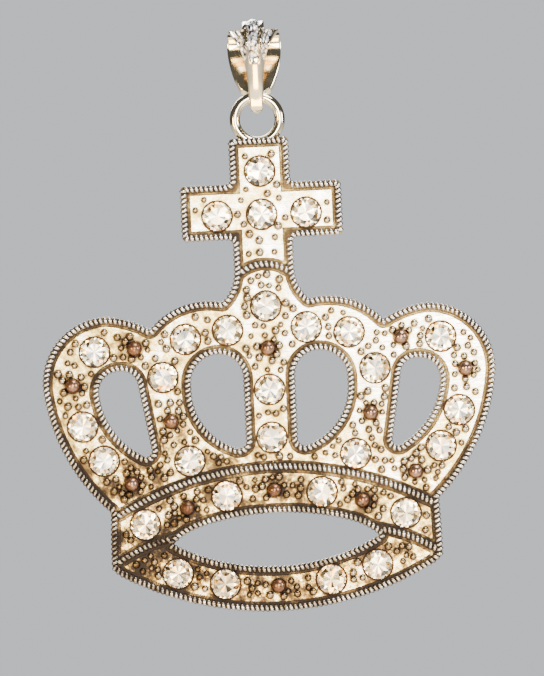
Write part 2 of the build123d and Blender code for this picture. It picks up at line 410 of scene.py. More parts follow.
# %% Polished plating
def polished_plating(name, colour, roughness, wave_mm):
    """Smooth mirror-like plating with a slight waviness."""
    material, tree = new_material(name)
    coords = add_node(tree, "ShaderNodeTexCoord")
    wave = add_node(
        tree,
        "ShaderNodeTexNoise",
        {"Scale": 1 / (1.8 * MM), "Detail": 1.0},
        {"Vector": coords.outputs["Object"]},
    )
    rough = add_node(
        tree,
        "ShaderNodeMapRange",
        {"From Min": 0.3, "From Max": 0.7, "To Min": roughness, "To Max": roughness + 0.06},
        {"Value": wave},
    )
    bump = add_node(
        tree, "ShaderNodeBump", {"Strength": 0.35, "Distance": wave_mm * MM}, {"Height": wave}
    )
    shader = add_node(
        tree,
        "ShaderNodeBsdfPrincipled",
        {"Base Color": srgb(colour), "Metallic": 1.0},
        {"Roughness": rough, "Normal": bump},
    )
    add_node(tree, "ShaderNodeOutputMaterial", links={"Surface": shader})
    return material


# hand-polished silver plate: nearly a mirror with a warm tint, its lights a little bent
bright_plating = polished_plating("polished_silver_plating", "#EEDDB8", 0.09, 0.03)


def engraved_silver():
    """Plating over a punched ground: bright hollows with dark lines between them."""
    material, tree = new_material("engraved_silver_plating")
    coords = add_node(tree, "ShaderNodeTexCoord")
    punches = add_node(
        tree,
        "ShaderNodeTexVoronoi",
        {"feature": "SMOOTH_F1", "Scale": 1 / (0.4 * MM), "Smoothness": 0.3},
        {"Vector": coords.outputs["Object"]},
    )
    between = add_node(
        tree, "ShaderNodeMapRange", {"From Min": 0.3, "From Max": 0.75}, {"Value": punches}
    )
    tone = add_node(
        tree,
        "ShaderNodeMix",
        {"data_type": "RGBA", 6: srgb("#F7F5F2"), 7: srgb("#4A4038")},
        {0: between},
    )
    bump = add_node(
        tree, "ShaderNodeBump", {"Strength": 0.7, "Distance": 0.05 * MM}, {"Height": punches}
    )
    shader = add_node(
        tree,
        "ShaderNodeBsdfPrincipled",
        {"Metallic": 1.0, "Roughness": 0.34},
        {"Base Color": tone.outputs[2], "Normal": bump},
    )
    add_node(tree, "ShaderNodeOutputMaterial", links={"Surface": shader})
    return material


engraved_plating = engraved_silver()
print("plating:", bright_plating.name, engraved_plating.name)

# %% [markdown]
# ## Outlines from the casting's back
# The back is one flat face, so the edges that only one of its triangles uses are its outline
# and its openings. They are chained into loops, evened out, and then moved into the metal by
# half a border's width, which gives the middle line of each twisted border.

# %% Loops of the casting's flat back
def back_loops():
    """The loops of the casting's back as (x, z) arrays, with the metal on their left."""
    mesh = nodes["crown_casting"].data
    points = [tuple(np.round(np.array(v.co) / MM, 4)) for v in mesh.vertices]
    used = {}
    for polygon in mesh.polygons:
        corners = [points[i] for i in polygon.vertices]
        if all(abs(c[1] - BACK_Y) < 0.001 for c in corners):
            flat = [(c[0], c[2]) for c in corners]
            for start, end in zip(flat, flat[1:] + flat[:1]):
                used[(start, end)] = used.get((start, end), 0) + 1
    follow = {a: b for (a, b) in used if (b, a) not in used}
    loops = []
    while follow:
        start, here = next(iter(follow.items()))
        del follow[start]
        loop = [start]
        while here in follow:
            loop.append(here)
            here = follow.pop(here)
        loops.append(np.array(loop))
    return loops


def signed_area(loop):
    """Positive where the loop runs anticlockwise, as seen from the front."""
    following = np.roll(loop, -1, axis=0)
    return 0.5 * np.sum(loop[:, 0] * following[:, 1] - following[:, 0] * loop[:, 1])


def even_steps(line, step, closed=True):
    """The same line with points at even steps."""
    if closed:
        line = np.vstack([line, line[:1]])
    lengths = np.hypot(*np.diff(line, axis=0).T)
    along = np.concatenate([[0], np.cumsum(lengths)])
    count = max(8, round(along[-1] / step))
    wanted = np.linspace(0, along[-1], count + 1)
    even = np.column_stack([np.interp(wanted, along, line[:, i]) for i in (0, 1)])
    return even[:-1] if closed else even


LOOP_STEP = 0.08


def moved_left(loop, distance):
    """A closed loop moved to its left, with the tangles at tight corners taken out."""
    even = even_steps(loop, LOOP_STEP)
    reach = 2
    tangent = np.roll(even, -reach, axis=0) - np.roll(even, reach, axis=0)
    tangent /= np.linalg.norm(tangent, axis=1)[:, None]
    moved = even + distance * np.column_stack([-tangent[:, 1], tangent[:, 0]])
    gaps = np.linalg.norm(moved[:, None, :] - even[None, :, :], axis=2).min(axis=1)
    return even_steps(moved[gaps > distance - 0.03], LOOP_STEP)


loops = [loop for loop in back_loops() if abs(signed_area(loop)) > 1]
loops.sort(key=lambda loop: -abs(signed_area(loop)))
outline = loops[0] if signed_area(loops[0]) > 0 else loops[0][::-1]
openings = [loop if signed_area(loop) < 0 else loop[::-1] for loop in loops[1:]]
print("outline points:", len(outline), "openings:", len(openings))

# %% [markdown]
# ## Twisted borders
# A border looks like two wires twisted together: slanted lumps, side by side, with dark gaps.
# It could be two helixes, but half of each would be buried in the casting. A row of slanted
# lumps along the path shows the same and takes far fewer faces. Geometry Nodes set one lump
# at each step of the path, turn it with the path and slant it.

# %% The border's node tree
BORDER_HALF = 0.5
EDGE_INSET = 0.15  # the frame's plain edge lies this far inside the border's crests
LUMP_STEP = 0.62
LUMP_SLANT = math.radians(26)


def named_input(tree, name, kind, value):
    """A named input of a node tree, with its default."""
    socket = tree.interface.new_socket(name, in_out="INPUT", socket_type=kind)
    if value is not None:
        socket.default_value = value
    return socket


def start_tree(name):
    """A Geometry Nodes tree with its geometry input and output."""
    tree = bpy.data.node_groups.new(name, "GeometryNodeTree")
    named_input(tree, "Geometry", "NodeSocketGeometry", None)
    tree.interface.new_socket("Geometry", in_out="OUTPUT", socket_type="NodeSocketGeometry")
    return tree


def end_tree(tree, given, instances):
    """Makes instances real, smooth and of the given metal, as the tree's result."""
    real = add_node(tree, "GeometryNodeRealizeInstances", links={0: instances})
    finish = add_node(
        tree,
        "GeometryNodeSetMaterial",
        links={"Geometry": real, "Material": given.outputs["Metal"]},
    )
    smooth = add_node(tree, "GeometryNodeSetShadeSmooth", links={0: finish})
    add_node(tree, "NodeGroupOutput", links={0: smooth})
    return tree


def border_tree():
    """One slanted lump at each step of a path."""
    tree = start_tree("twisted_border")
    named_input(tree, "Lump step", "NodeSocketFloat", LUMP_STEP * MM)
    named_input(tree, "Lump size", "NodeSocketVector", (0.295 * MM, 0.54 * MM, 0.42 * MM))
    named_input(tree, "Slant", "NodeSocketFloat", LUMP_SLANT)
    named_input(tree, "Metal", "NodeSocketMaterial", None)
    given = add_node(tree, "NodeGroupInput")
    path = add_node(tree, "GeometryNodeMeshToCurve", links={0: given.outputs["Geometry"]})
    steps = add_node(
        tree,
        "GeometryNodeResampleCurve",
        {"mode": "LENGTH"},
        {"Curve": path, "Length": given.outputs["Lump step"]},
    )
    lump = add_node(tree, "GeometryNodeMeshUVSphere", {"Segments": 8, "Rings": 6, "Radius": 1.0})
    tangent = add_node(tree, "GeometryNodeInputTangent")
    face_front = add_node(
        tree,
        "FunctionNodeAlignRotationToVector",
        {"axis": "Z", "Vector": (0.0, -1.0, 0.0)},
    )
    along_path = add_node(
        tree,
        "FunctionNodeAlignRotationToVector",
        {"axis": "X", "pivot_axis": "Z"},
        {"Rotation": face_front, "Vector": tangent},
    )
    slant = add_node(tree, "ShaderNodeCombineXYZ", links={"Z": given.outputs["Slant"]})
    slanted = add_node(
        tree,
        "FunctionNodeRotateRotation",
        {"rotation_space": "LOCAL"},
        {"Rotation": along_path, "Rotate By": slant},
    )
    row = add_node(
        tree,
        "GeometryNodeInstanceOnPoints",
        links={
            "Points": steps,
            "Instance": lump,
            "Rotation": slanted,
            "Scale": given.outputs["Lump size"],
        },
    )
    return end_tree(tree, given, row)


def grown(name, seed_mesh, tree, values):
    """Runs a tree on a mesh with the given input values, and returns a plain mesh object."""
    seed = linked(name + "_seed", seed_mesh)
    modifier = seed.modifiers.new("grow", "NODES")
    modifier.node_group = tree
    for socket in tree.interface.items_tree:
        if socket.name in values and socket.in_out == "INPUT":
            modifier[socket.identifier] = values[socket.name]
    depsgraph = bpy.context.evaluated_depsgraph_get()
    mesh = bpy.data.meshes.new_from_object(seed.evaluated_get(depsgraph), depsgraph=depsgraph)
    mesh.name = name
    bpy.data.objects.remove(seed)
    return linked(name, mesh)


print("lump step", LUMP_STEP, "mm")


# %% Paths of the borders
def arc_through(first, middle, last, step=0.1):
    """Points along the circle's arc through three points."""
    a, b, c = (complex(*p) for p in (first, middle, last))
    w = (c - a) / (b - a)
    centre = (b - a) * (w - abs(w) ** 2) / (2j * w.imag) + a
    radius = abs(a - centre)
    start, turn = (
        math.atan2((a - centre).imag, (a - centre).real),
        math.atan2(((c - centre) / (a - centre)).imag, ((c - centre) / (a - centre)).real),
    )
    half = ((b - centre) / (a - centre)).imag
    if turn * half < 0:
        turn -= math.copysign(2 * math.pi, turn)
    count = max(2, round(abs(turn) * radius / step))
    angles = start + turn * np.linspace(0, 1, count + 1)
    return np.column_stack(
        [centre.real + radius * np.cos(angles), centre.imag + radius * np.sin(angles)]
    )


def nearest(line, x, z):
    """Distance from a place to the nearest point of a line."""
    return np.hypot(line[:, 0] - x, line[:, 1] - z).min()


def inside(loop, x, z):
    """True if a place lies inside a closed loop."""
    x0, z0 = loop[:, 0], loop[:, 1]
    x1, z1 = np.roll(x0, -1), np.roll(z0, -1)
    crosses = (z0 > z) != (z1 > z)
    with np.errstate(divide="ignore", invalid="ignore"):
        at = x0 + (z - z0) * (x1 - x0) / (z1 - z0)
    return np.count_nonzero(crosses & (x < at)) % 2 == 1


def from_foot(line):
    """Heights above the crown's foot become the frame's own heights."""
    return line + np.array([0, FOOT_Z - EDGE_INSET])


def mirrored(line):
    """The same line on the other side."""
    return line * np.array([-1, 1])


brow_arc = from_foot(arc_through((-20.6, 12.9), (0, 18.6), (20.6, 12.9)))
corner_arc = from_foot(arc_through((13.4, 9.95), (17.0, 8.95), (20.6, 7.0)))
dome_arc = from_foot(arc_through((-4.9, 40.9), (0, 44.6), (4.9, 40.9)))
crossing_lines = [brow_arc, corner_arc, mirrored(corner_arc), dome_arc]
border_loops = [moved_left(loop, BORDER_HALF - EDGE_INSET) for loop in [outline, *openings]]
MEETING_GAP = 0.55  # a crossing border stops this far from the border that it meets


def between_loops(line):
    """The part of a crossing line that is on the casting and clear of the other borders."""
    on_metal = [p for p in line if inside(outline, *p)]
    return np.array([p for p in on_metal if nearest(np.vstack(border_loops), *p) > MEETING_GAP])


crossing_lines = [between_loops(line) for line in crossing_lines]
BORDER_DEPTH = 0.88  # middle of the lumps, forward of the ring's plane
print("border length", round(sum(len(b) for b in border_loops) * LOOP_STEP), "mm in loops")


# %% Grow the borders
def path_mesh(name, lines):
    """Lines as a mesh of edges in the border's plane; each is (points, closed)."""
    points = []
    edges = []
    for line, closed in lines:
        first = len(points)
        points += [(x * MM, -BORDER_DEPTH * MM, z * MM) for x, z in line]
        last = len(points) - 1
        edges += [(i, i + 1) for i in range(first, last)]
        if closed:
            edges.append((last, first))
    mesh = bpy.data.meshes.new(name)
    mesh.from_pydata(points, edges, [])
    return mesh


lines = [(loop, True) for loop in border_loops] + [(line, False) for line in crossing_lines]
paths = path_mesh("border_paths", lines)
borders = grown("twisted_borders", paths, border_tree(), {"Metal": border_metal})
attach(borders, "crown")
print("border faces:", len(borders.data.polygons))

# %% [markdown]
# ## Beads
# Thirteen larger beads were cast with the crown and left copper brown. Their places are the
# casting's highest points, so they are found by grouping the vertices near its front.

# %% Beads over the casting's own bosses
BOSS_TOP = 0.35  # vertices this near the front belong to a boss's top
BOSS_REACH = 1.6  # and those this near each other to the same boss


def bead_centres():
    """The middles of the casting's highest bosses, as (x, z)."""
    points = [v.co / MM for v in nodes["crown_casting"].data.vertices]
    tops = [point for point in points if point.y < casting_low.y + BOSS_TOP]
    groups = []
    for top in tops:
        for group in groups:
            if math.hypot(top.x - group[0].x, top.z - group[0].z) < BOSS_REACH:
                group.append(top)
                break
        else:
            groups.append([top])
    return [
        (
            (min(p.x for p in group) + max(p.x for p in group)) / 2,
            (min(p.z for p in group) + max(p.z for p in group)) / 2,
        )
        for group in groups
    ]


BEAD_RADIUS = 0.97
beads = bead_centres()
dice = random.Random(11)


def bead_form():
    """All beads as one mesh: slightly uneven balls, sunk in the field."""
    form = bmesh.new()
    for x, z in beads:
        made = bmesh.ops.create_icosphere(form, subdivisions=3, radius=BEAD_RADIUS)["verts"]
        shift = Vector((x, -(FIELD_DEPTH + 0.1), z))
        seed = Vector((dice.random() * 9, dice.random() * 9, dice.random() * 9))
        for vert in made:
            lumpy = 1 + 0.03 * noise.noise(vert.co * 2.2 + seed)
            vert.co = (vert.co * lumpy + shift) * MM
    mesh = bpy.data.meshes.new("beads")
    form.to_mesh(mesh)
    form.free()
    mesh.materials.append(bead_metal)
    mesh.polygons.foreach_set("use_smooth", [True] * len(mesh.polygons))
    return linked("beads", mesh)


bead_piece = bead_form()
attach(bead_piece, "crown")
print("beads:", len(beads))

# %% [markdown]
# ## Granules
# Small granules fill the fields between the stones. They gather round the beads and keep
# clear of the borders, and no two sides are alike. Random places are thrown one by one, and
# one is kept only if it is far enough from everything placed before it.

# %% Places for the granules
GRANULE_RADIUS = 0.44
OUTER_STRIP = 1.75  # no granule's middle is nearer than this to the outer edge
OPENING_STRIP = 1.62
CROSSING_STRIP = 1.25
GRANULE_GAP = 0.92
LOW_GRANULE_GAP = 0.76
LOW_FIELDS_Z = FOOT_Z + 21  # the band and the base are more crowded than the arches
CROSS_GRANULE_GAP = 1.32
BEAD_GRANULE_GAP = 0.88  # granules stand closer in the ring round a bead
STONE_CLEARANCE = 0.64
BEAD_CLEARANCE = 0.36
CROSS_FOOT_Z = dome_arc[:, 1].max()
COARSE_STEP = 0.2
even_outline = even_steps(outline, COARSE_STEP)
even_openings = [even_steps(loop, COARSE_STEP) for loop in openings]


def clear_of_edges(x, z):
    """True if a place is on a raised field, clear of borders, stones and beads."""
    if not inside(even_outline, x, z) or nearest(even_outline, x, z) < OUTER_STRIP:
        return False
    for loop in even_openings:
        if inside(loop, x, z) or nearest(loop, x, z) < OPENING_STRIP:
            return False
    if any(nearest(line, x, z) < CROSSING_STRIP for line in crossing_lines):
        return False
    cup_reach = STONE_RADIUS + STONE_CLEARANCE
    if any(math.hypot(p.x - x, p.z - z) < cup_reach for p in stone_places.values()):
        return False
    return all(math.hypot(bx - x, bz - z) > BEAD_RADIUS + BEAD_CLEARANCE for bx, bz in beads)


def granule_places():
    """Rings round the beads first, then places thrown at random."""
    throw = random.Random(5)
    placed = []

    def try_place(x, z, gap):
        if clear_of_edges(x, z) and all(math.hypot(px - x, pz - z) > gap for px, pz in placed):
            placed.append((x, z))

    for bx, bz in beads:
        for _ in range(26):
            angle = throw.uniform(0, math.tau)
            reach = BEAD_RADIUS + throw.uniform(BEAD_CLEARANCE, 0.75)
            try_place(bx + reach * math.cos(angle), bz + reach * math.sin(angle), BEAD_GRANULE_GAP)
    width = casting_high.x - casting_low.x
    height = casting_high.z - casting_low.z
    for _ in range(20000):
        x = casting_low.x + width * throw.random()
        z = casting_low.z + height * throw.random()
        gap = LOW_GRANULE_GAP if z < LOW_FIELDS_Z else GRANULE_GAP
        gap = CROSS_GRANULE_GAP if z > CROSS_FOOT_Z else gap
        try_place(x, z, gap + throw.uniform(0, 0.2))
    return placed


granules_at = granule_places()
print("granules:", len(granules_at))


# %% Grow the granules
def granule_tree():
    """A small ball on each point, with random size and turn."""
    tree = start_tree("granules")
    named_input(tree, "Radius", "NodeSocketFloat", GRANULE_RADIUS * MM)
    named_input(tree, "Unevenness", "NodeSocketFloat", 0.2)
    named_input(tree, "Seed", "NodeSocketInt", 3)
    named_input(tree, "Metal", "NodeSocketMaterial", None)
    given = add_node(tree, "NodeGroupInput")
    ball = add_node(
        tree,
        "GeometryNodeMeshUVSphere",
        {"Segments": 9, "Rings": 6},
        {"Radius": given.outputs["Radius"]},
    )
    unevenness = given.outputs["Unevenness"]
    less = add_node(tree, "ShaderNodeMath", {"operation": "SUBTRACT", 0: 1.0}, {1: unevenness})
    more = add_node(tree, "ShaderNodeMath", {"operation": "ADD", 1: 1.0}, {0: unevenness})
    size = add_node(
        tree,
        "FunctionNodeRandomValue",
        {"data_type": "FLOAT"},
        {2: less, 3: more, "Seed": given.outputs["Seed"]},
    )
    balls = add_node(
        tree,
        "GeometryNodeInstanceOnPoints",
        links={"Points": given.outputs["Geometry"], "Instance": ball, "Scale": size.outputs[1]},
    )
    return end_tree(tree, given, balls)


seeds = bpy.data.meshes.new("granule_places")
GRANULE_DEPTH = FIELD_DEPTH + 0.06  # over half of each ball stands above the field
seeds.from_pydata([(x * MM, -GRANULE_DEPTH * MM, z * MM) for x, z in granules_at], [], [])
granules = grown("granules", seeds, granule_tree(), {"Metal": granule_metal})
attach(granules, "crown")
print("granule faces:", len(granules.data.polygons))

# %% [markdown]
# ## Cut stones
# Each stone is crystal glass with a flat table, rings of facets round it and a pointed back
# that is silvered. The eye sees two things at once: the glass surface, and below it the
# silvered facets, which face other ways. Real refraction would need very many samples to
# come out clean. So the surface is a clear coat over a mirror, and the mirror's facing is
# an attribute on each face: the coat follows the cut, and the mirror follows the foil. Each
# facet's foil also gets a painted tone from tan to white, a painted reflection that stands
# in for the lamps and the dim room that the facet would show.

# %% Glass over silver foil
def foiled_glass():
    """Clear glass as a coat, over foil that faces the way its attribute says, in a painted
    reflection tone per facet.
    """
    material, tree = new_material("foil_backed_cut_glass")
    facing = add_node(tree, "ShaderNodeAttribute", {"attribute_name": "foil_facing"})
    turned = add_node(
        tree,
        "ShaderNodeVectorTransform",
        {"vector_type": "NORMAL", "convert_from": "OBJECT", "convert_to": "WORLD"},
        {0: facing.outputs["Vector"]},
    )
    # painted reflection: each facet's tone mixes tan and white
    tone = add_node(tree, "ShaderNodeAttribute", {"attribute_name": "facet_painted_reflection"})
    colour = add_node(
        tree,
        "ShaderNodeMix",
        {"data_type": "RGBA", 6: srgb("#8C6E38"), 7: srgb("#FFEFC9")},
        {0: tone.outputs["Fac"]},
    )
    shader = add_node(
        tree,
        "ShaderNodeBsdfPrincipled",
        {
            "Metallic": 1.0,
            "Roughness": 0.24,
            "Coat Weight": 1.0,
            "Coat Roughness": 0.02,
            "Coat IOR": 1.54,
        },
        {"Base Color": colour.outputs[2], "Normal": turned},
    )
    add_node(tree, "ShaderNodeOutputMaterial", links={"Surface": shader})
    return material


# cut glass on silver foil: a sharp glint on the table, and below it tan and white shards, painted
# reflections on each facet
stone_glass = foiled_glass()
print("stone material:", stone_glass.name)


# %% Cut one stone per cup
FACETS = 16
GIRDLE_LOW = 0.72
GIRDLE_HIGH = 0.87
POINT_DEPTH = -0.7
# rings of the cut: (share of the radius, depth, corners, half steps of turn)
CUT_RINGS = [
    (1.0, GIRDLE_LOW, 2 * FACETS, 0),
    (1.0, GIRDLE_HIGH, 2 * FACETS, 0),
    (0.83, 1.14, FACETS, 1),
    (0.57, TABLE_DEPTH, FACETS, 0),
]


def cut_points(turn):
    """The corners of a stone's facets round the origin, table towards -Y."""
    points = [(0, -POINT_DEPTH, 0)]
    for share, depth, corners, half_steps in CUT_RINGS:
        for i in range(corners):
            angle = turn + math.tau * (i / corners + half_steps / (2 * FACETS))
            reach = share * STONE_RADIUS
            points.append((reach * math.cos(angle), -depth, reach * math.sin(angle)))
    return points


def foil_behind(face, draw):
    """Which way the foil behind a facet faces, and its painted reflection tone from tan to white.
    """
    middle = face.calc_center_median()
    outwards = Vector((middle.x, 0, middle.z)).normalized()
    share = math.hypot(middle.x, middle.z) / STONE_RADIUS
    if share < 0.5:
        tilt = draw.choice((2, 3, 5, 10, 22, 30))
        tone = draw.uniform(0.35, 1)
    else:
        tilt = draw.choice((3, 6, 12, 19, 27, 34))
        tone = draw.choice((0.05, 0.4, 0.7, 1, 1))
    side = outwards.cross(Vector((0, 1, 0))) * draw.uniform(-0.5, 0.5)
    lean = math.tan(math.radians(tilt)) * draw.choice((-1, 1))
    return (Vector((0, -1, 0)) + (outwards + side) * lean).normalized(), tone


def cut_stone(name, centre, draw):
    """A faceted stone at its place, with its foil's facing and painted reflection tone on each
    face.
    """
    form = bmesh.new()
    for point in cut_points(draw.random() * math.tau):
        form.verts.new(point)
    bmesh.ops.convex_hull(form, input=form.verts)
    bmesh.ops.dissolve_limit(
        form, angle_limit=math.radians(0.5), verts=form.verts, edges=form.edges
    )
    table = min(form.faces, key=lambda face: face.calc_center_median().y)
    bmesh.ops.poke(form, faces=[table])
    bmesh.ops.recalc_face_normals(form, faces=form.faces)
    facing_layer = form.faces.layers.float_vector.new("foil_facing")
    reflection_tone_layer = form.faces.layers.float.new("facet_painted_reflection")
    for face in form.faces:
        face.smooth = False
        # front facets get a painted reflection tone from tan to white, the rest a dark one
        if face.normal.y < -0.1:
            face[facing_layer], face[reflection_tone_layer] = foil_behind(face, draw)
        else:
            face[facing_layer], face[reflection_tone_layer] = face.normal, 0.1
    for vert in form.verts:
        vert.co = (vert.co + Vector((centre.x, 0, centre.z))) * MM
    mesh = bpy.data.meshes.new(name)
    form.to_mesh(mesh)
    form.free()
    mesh.materials.append(stone_glass)
    return linked(name, mesh)


for name in stone_nodes:
    gem = cut_stone(name.replace("stone_", "gem_"), stone_places[name], random.Random(name))
    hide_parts(name)
    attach(gem, "crown")
print("stones cut:", len(stone_nodes))

# %% [markdown]
# ## Cup edges
# Each stone sits in a cup whose thin edge stands just above the field. The edge is painted
# dark as shade, standing in for the shaded gap between the stone and its cup, so it draws a
# fine dark circle round the stone. One small ring on each stone's place makes them all.

# %% Rings round the stones
EDGE_WIRE = 0.12
EDGE_DEPTH = 0.87  # middle of the edge's wire, forward of the ring's plane


def cup_edge_tree():
    """A thin ring on each point, facing the front."""
    tree = start_tree("cup_edges")
    named_input(tree, "Cup radius", "NodeSocketFloat", (STONE_RADIUS + 0.03) * MM)
    named_input(tree, "Wire radius", "NodeSocketFloat", EDGE_WIRE * MM)
    named_input(tree, "Metal", "NodeSocketMaterial", None)
    given = add_node(tree, "NodeGroupInput")
    circle, wire = (
        add_node(
            tree,
            "GeometryNodeCurvePrimitiveCircle",
            {"Resolution": corners},
            {"Radius": given.outputs[radius]},
        )
        for radius, corners in (("Cup radius", 32), ("Wire radius", 6))
    )
    edge = add_node(
        tree, "GeometryNodeCurveToMesh", links={"Curve": circle, "Profile Curve": wire}
    )
    edges = add_node(
        tree,
        "GeometryNodeInstanceOnPoints",
        {"Rotation": (math.pi / 2, 0, 0)},
        {"Points": given.outputs["Geometry"], "Instance": edge},
    )
    return end_tree(tree, given, edges)


# matt dark brown, painted shade of the gap round each stone: a fine outline that sets the bright
# stone off from the field
cup_gap_shade_metal = oxidised_metal(
    "cup_edge_painted_gap_shade",
    [(0.0, "#8A6A42"), (0.4, "#4A3018"), (0.8, "#20140B"), (1.0, "#140C07")],
    (0.86, 1.0),
    0.3,
    0.004,
    least_film=0.25,
)
cup_seeds = bpy.data.meshes.new("cup_places")
cup_seeds.from_pydata(
    [(p.x * MM, -EDGE_DEPTH * MM, p.z * MM) for p in stone_places.values()], [], []
)
cup_edges = grown("cup_edges", cup_seeds, cup_edge_tree(), {"Metal": cup_gap_shade_metal})
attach(cup_edges, "crown")
print("cup edge faces:", len(cup_edges.data.polygons))

# %% [markdown]
# ## Hanging ring
# The ring is round wire, closed with solder where it sits in the top of the cross. A torus
# of its own, with more faces than the frame's, gives the polish a smooth surface to run on.

# %% Ring of round wire
ring_low, ring_high = (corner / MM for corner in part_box("hanging_ring"))
WIRE_RADIUS = (ring_high.y - ring_low.y) / 2
RING_RADIUS = (ring_high.x - ring_low.x) / 2 - WIRE_RADIUS
RING_STEPS = 96
WIRE_STEPS = 28


def ring_point(i, j):
    """A point of the ring's surface."""
    turn = math.tau * i / RING_STEPS
    round_wire = math.tau * j / WIRE_STEPS
    reach = RING_RADIUS + WIRE_RADIUS * math.cos(round_wire)
    return (
        reach * math.cos(turn),
        WIRE_RADIUS * math.sin(round_wire),
        RING_Z + reach * math.sin(turn),
    )


def tube_faces(rows, columns):
    """Quads of a closed grid that wraps both ways."""
    return [
        (
            i * columns + j,
            i * columns + (j + 1) % columns,
            (i + 1) % rows * columns + (j + 1) % columns,
            (i + 1) % rows * columns + j,
        )
        for i in range(rows)
        for j in range(columns)
    ]


ring_points = [ring_point(i, j) for i in range(RING_STEPS) for j in range(WIRE_STEPS)]
ring = mesh_piece("wire_ring", ring_points, tube_faces(RING_STEPS, WIRE_STEPS), [bright_plating])
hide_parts("hanging_ring")
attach(ring, "ring")
print("ring wire", round(2 * WIRE_RADIUS, 2), "mm, ring", round(2 * ring_high.x, 2), "mm")

# %% [markdown]
# ## Bail
# The bail is one closed band. Seen from the side it is a drop, wide at the eye and tight
# round the ring's wire. In front it flares into a fan with two smooth ribs and a rough panel
# between them, and its back leaf is plain. The band is swept as a grid: rows follow the drop,
# columns run across it, and the outer columns are lifted to draw the ribs.

# %% The bail's side view
bail_low, bail_high = (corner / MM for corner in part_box("bail"))
EYE_OUTER = bail_high.z
EYE_INNER = EYE_OUTER - 0.75
SEAT_INNER = 0.9
SEAT_OUTER = 1.6
SEAT_OUTER_DROP = WIRE_Z - bail_low.z - SEAT_OUTER
WING_RISE = 8.55
BACK_WING_RISE = 8.3
EYE_ROWS = 64
SEAT_ROWS = 28
LEAF_ROWS = 46


def drop_rows(top_radius, low_radius, low_drop, extra_turns):
    """Points round the drop as (y, z): over the eye, down the front, round, up the back."""
    depth = -WIRE_Z + low_drop
    tilt = math.asin((top_radius - low_radius) / depth)
    turns = sorted([*np.linspace(-tilt, math.pi + tilt, EYE_ROWS), *extra_turns])
    rows = [(top_radius * math.cos(t), top_radius * math.sin(t)) for t in turns]
    front_top = np.array(rows[-1])
    low_turns = np.linspace(math.pi + tilt, 2 * math.pi - tilt, SEAT_ROWS)
    low_arc = [(low_radius * math.cos(t), -depth + low_radius * math.sin(t)) for t in low_turns]
    steps = np.linspace(0, 1, LEAF_ROWS)[1:-1]
    down = [tuple(front_top + s * (np.array(low_arc[0]) - front_top)) for s in steps]
    back = [tuple(np.array(low_arc[-1]) + s * (np.array(rows[0]) - low_arc[-1])) for s in steps]
    return rows + down + low_arc + back


wing_turn = math.asin((WIRE_Z + WING_RISE) / EYE_OUTER)
back_turn = math.asin((WIRE_Z + BACK_WING_RISE) / EYE_OUTER)
EDGE_TURN = 0.004  # rows this close on each side of a wing's top keep its edge sharp
wing_tops = (back_turn, math.pi - wing_turn)
sharp_turns = [turn + side * EDGE_TURN for turn in wing_tops for side in (-1, 1)]
outer_rows = drop_rows(EYE_OUTER, SEAT_OUTER, SEAT_OUTER_DROP, sharp_turns)
inner_rows = drop_rows(EYE_INNER, SEAT_INNER, 0, sharp_turns)
print("bail rows:", len(outer_rows))


# %% The bail's widths and relief
def through(rise, *points):
    """A smooth curve through three (rise, half width) points."""
    (a, fa), (b, fb), (c, fc) = points
    return (
        fa * (rise - b) * (rise - c) / ((a - b) * (a - c))
        + fb * (rise - a) * (rise - c) / ((b - a) * (b - c))
        + fc * (rise - a) * (rise - b) / ((c - a) * (c - b))
    )


NECK_HALF = 1.4
TIP_LOW = WIRE_Z - bail_low.z
TIP_HALF = 0.8


def half_width(y, rise):
    """Half width of the band at a height above the wire, on its front or back leaf."""
    if rise < -TIP_LOW + TIP_HALF:
        drop = (-TIP_LOW + TIP_HALF - rise) / TIP_HALF
        return max(0.1, TIP_HALF * math.sqrt(max(0.0, 1 - drop**2)))
    if rise < -0.4:
        return TIP_HALF + 0.08 * (rise + TIP_LOW - TIP_HALF) / (TIP_LOW - TIP_HALF - 0.4)
    if y < 0:
        if rise > WING_RISE:
            return NECK_HALF
        return 0.95 + 2.25 * (max(0.0, rise) / WING_RISE) ** 2.6
    if rise > BACK_WING_RISE:
        return NECK_HALF
    if rise < 0.3:
        return 0.88 + (1.9 - 0.88) * (rise + 0.4) / 0.7
    return through(rise, (0.3, 1.9), (3.2, 3.0), (BACK_WING_RISE, 3.35))


def ease(value, low, high):
    """0 below low, 1 above high, smooth between."""
    t = min(1.0, max(0.0, (value - low) / (high - low)))
    return t * t * (3 - 2 * t)


def hump(distance, half):
    """A smooth hump of height 1 and the given half width."""
    return math.exp(-((distance / half) ** 2))


def rib_place(rise):
    """How far the ribs stand from the middle at a height above the wire."""
    return 0.64 + 0.085 * max(0.0, rise - 4)


SINK = 0.27  # lowers the front leaf, so that its ribs end near the plain band's surface


def front_relief(x, rise, share):
    """Lift of the front leaf: a smooth ridge below, ribs, a rough panel and fluted wings."""
    fan = ease(rise, 3.9, 5.4)
    crest = ease(rise, WING_RISE + 0.4, WING_RISE + 1.4)
    ridge = 0.34 * (1 - min(1.0, abs(x) / 1.2) ** 2.4) * (1 - fan) * ease(rise, -2.6, -0.9)
    rib_at = rib_place(rise)
    ribs = (0.42 - 0.26 * crest) * hump(abs(x) - rib_at, 0.22)
    hammered = noise.noise(Vector((x * 4.4, rise * 3.4, 4.0)))
    panel = (0.14 + 0.34 * crest + 0.08 * hammered) * hump(x, rib_at * 0.6)
    flutes = 0.06 * math.cos(9 * math.pi * share) * ease(abs(x), rib_at + 0.2, rib_at + 0.5)
    rim = 0.16 * ease(abs(share), 0.9, 0.97) * (1 - crest)
    return ridge + fan * (ribs + panel + flutes + rim) - SINK - 0.26 * crest


BAIL_COLUMNS = 49


